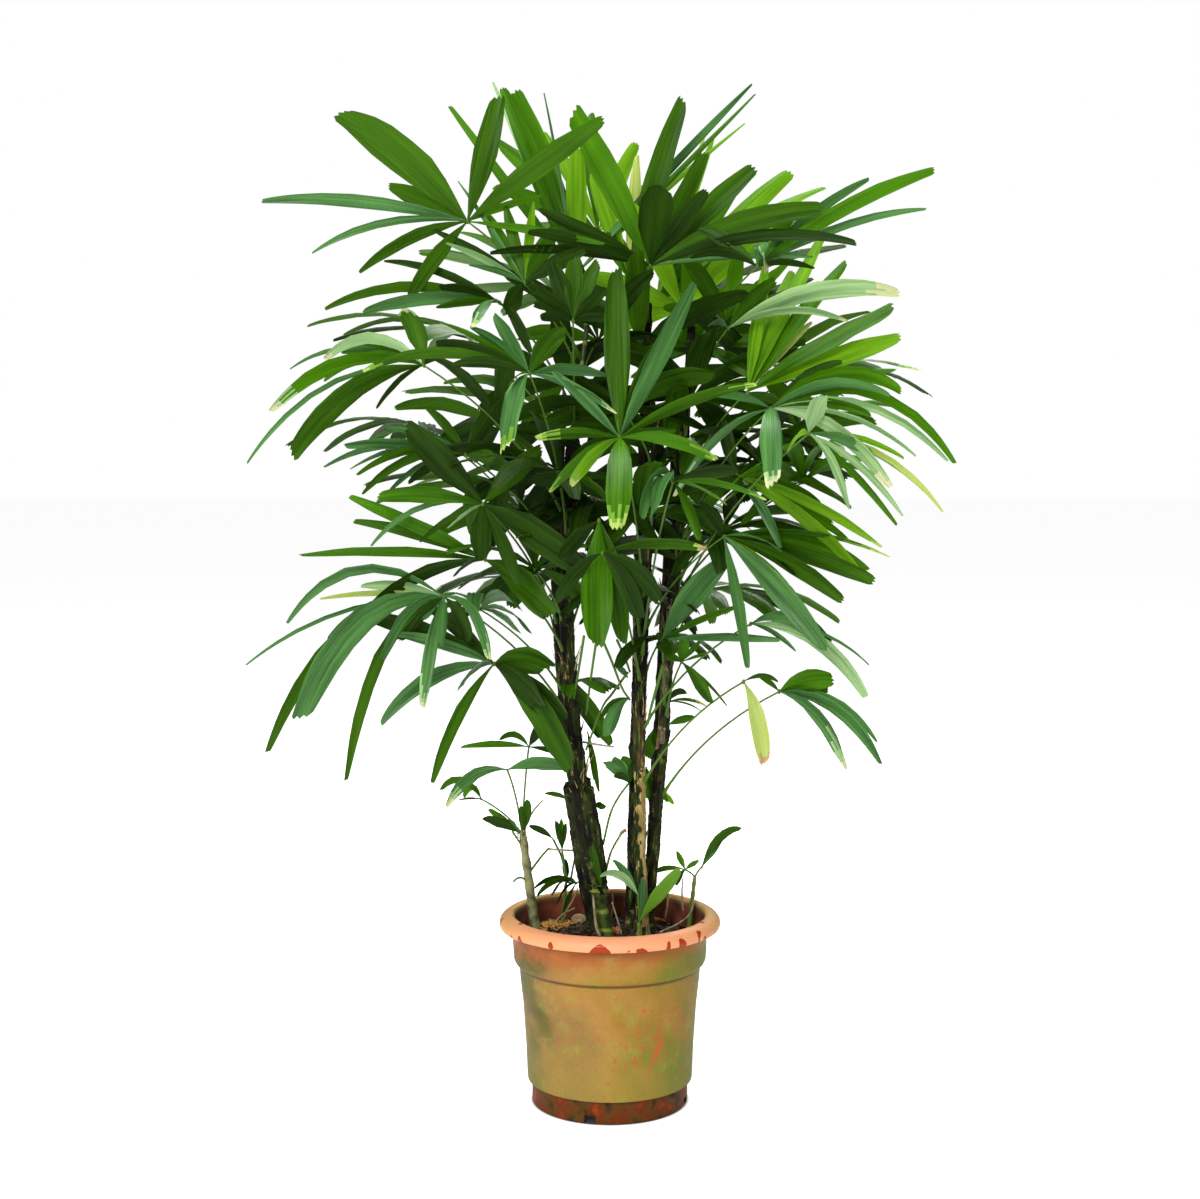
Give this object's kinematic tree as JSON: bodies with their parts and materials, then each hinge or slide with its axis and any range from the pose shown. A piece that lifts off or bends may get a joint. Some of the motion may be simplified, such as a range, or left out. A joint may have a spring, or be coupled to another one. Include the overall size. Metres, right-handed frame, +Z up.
{
  "type": "potted lady palm",
  "caption": "Lady palm with upright sheathed canes and fan-shaped fronds, rooted in soil in a round plastic pot with a rolled rim.",
  "frame": {"origin": "centre of the pot's flat underside, at floor level", "axes": "+Z up, -Y towards the front, +X to the right seen from the front"},
  "size_m": [0.8939, 0.8018, 1.3425],
  "materials": {
    "pot": "weathered terracotta plastic under an ochre and green film of algae",
    "soil": "dark moist potting soil",
    "cane": "green cane under dark brown fibre sheaths",
    "sucker": "young green stem and leaflets",
    "frond": "satin green leaflets with yellow-green tips"
  },
  "bodies": {
    "root": {"pot": "pot", "soil": "soil", "cane_left_back": "cane", "cane_left_front": "cane", "cane_centre_back": "cane", "cane_centre_front": "cane", "cane_right_back": "cane", "cane_right_front": "cane", "sucker_left": "sucker", "sucker_back": "sucker", "sucker_front": "sucker", "sucker_right": "sucker", "frond_01": "frond", "frond_02": "frond", "frond_03": "frond", "frond_04": "frond", "frond_05": "frond", "frond_06": "frond", "frond_07": "frond", "frond_08": "frond", "frond_09": "frond", "frond_10": "frond", "frond_11": "frond", "frond_12": "frond", "frond_13": "frond", "frond_14": "frond", "frond_15": "frond", "frond_16": "frond", "frond_17": "frond", "frond_18": "frond", "frond_19": "frond", "frond_20": "frond", "frond_21": "frond", "frond_22": "frond", "frond_23": "frond", "frond_24": "frond", "frond_25": "frond", "frond_26": "frond", "frond_27": "frond", "frond_28": "frond", "frond_29": "frond", "frond_30": "frond", "frond_31": "frond", "frond_32": "frond", "frond_33": "frond", "frond_34": "frond", "frond_35": "frond", "frond_36": "frond", "frond_37": "frond", "frond_38": "frond", "frond_39": "frond", "frond_40": "frond", "frond_41": "frond", "frond_42": "frond", "frond_43": "frond", "frond_44": "frond", "frond_45": "frond", "frond_46": "frond", "frond_47": "frond", "frond_48": "frond"}
  },
  "joints": []
}
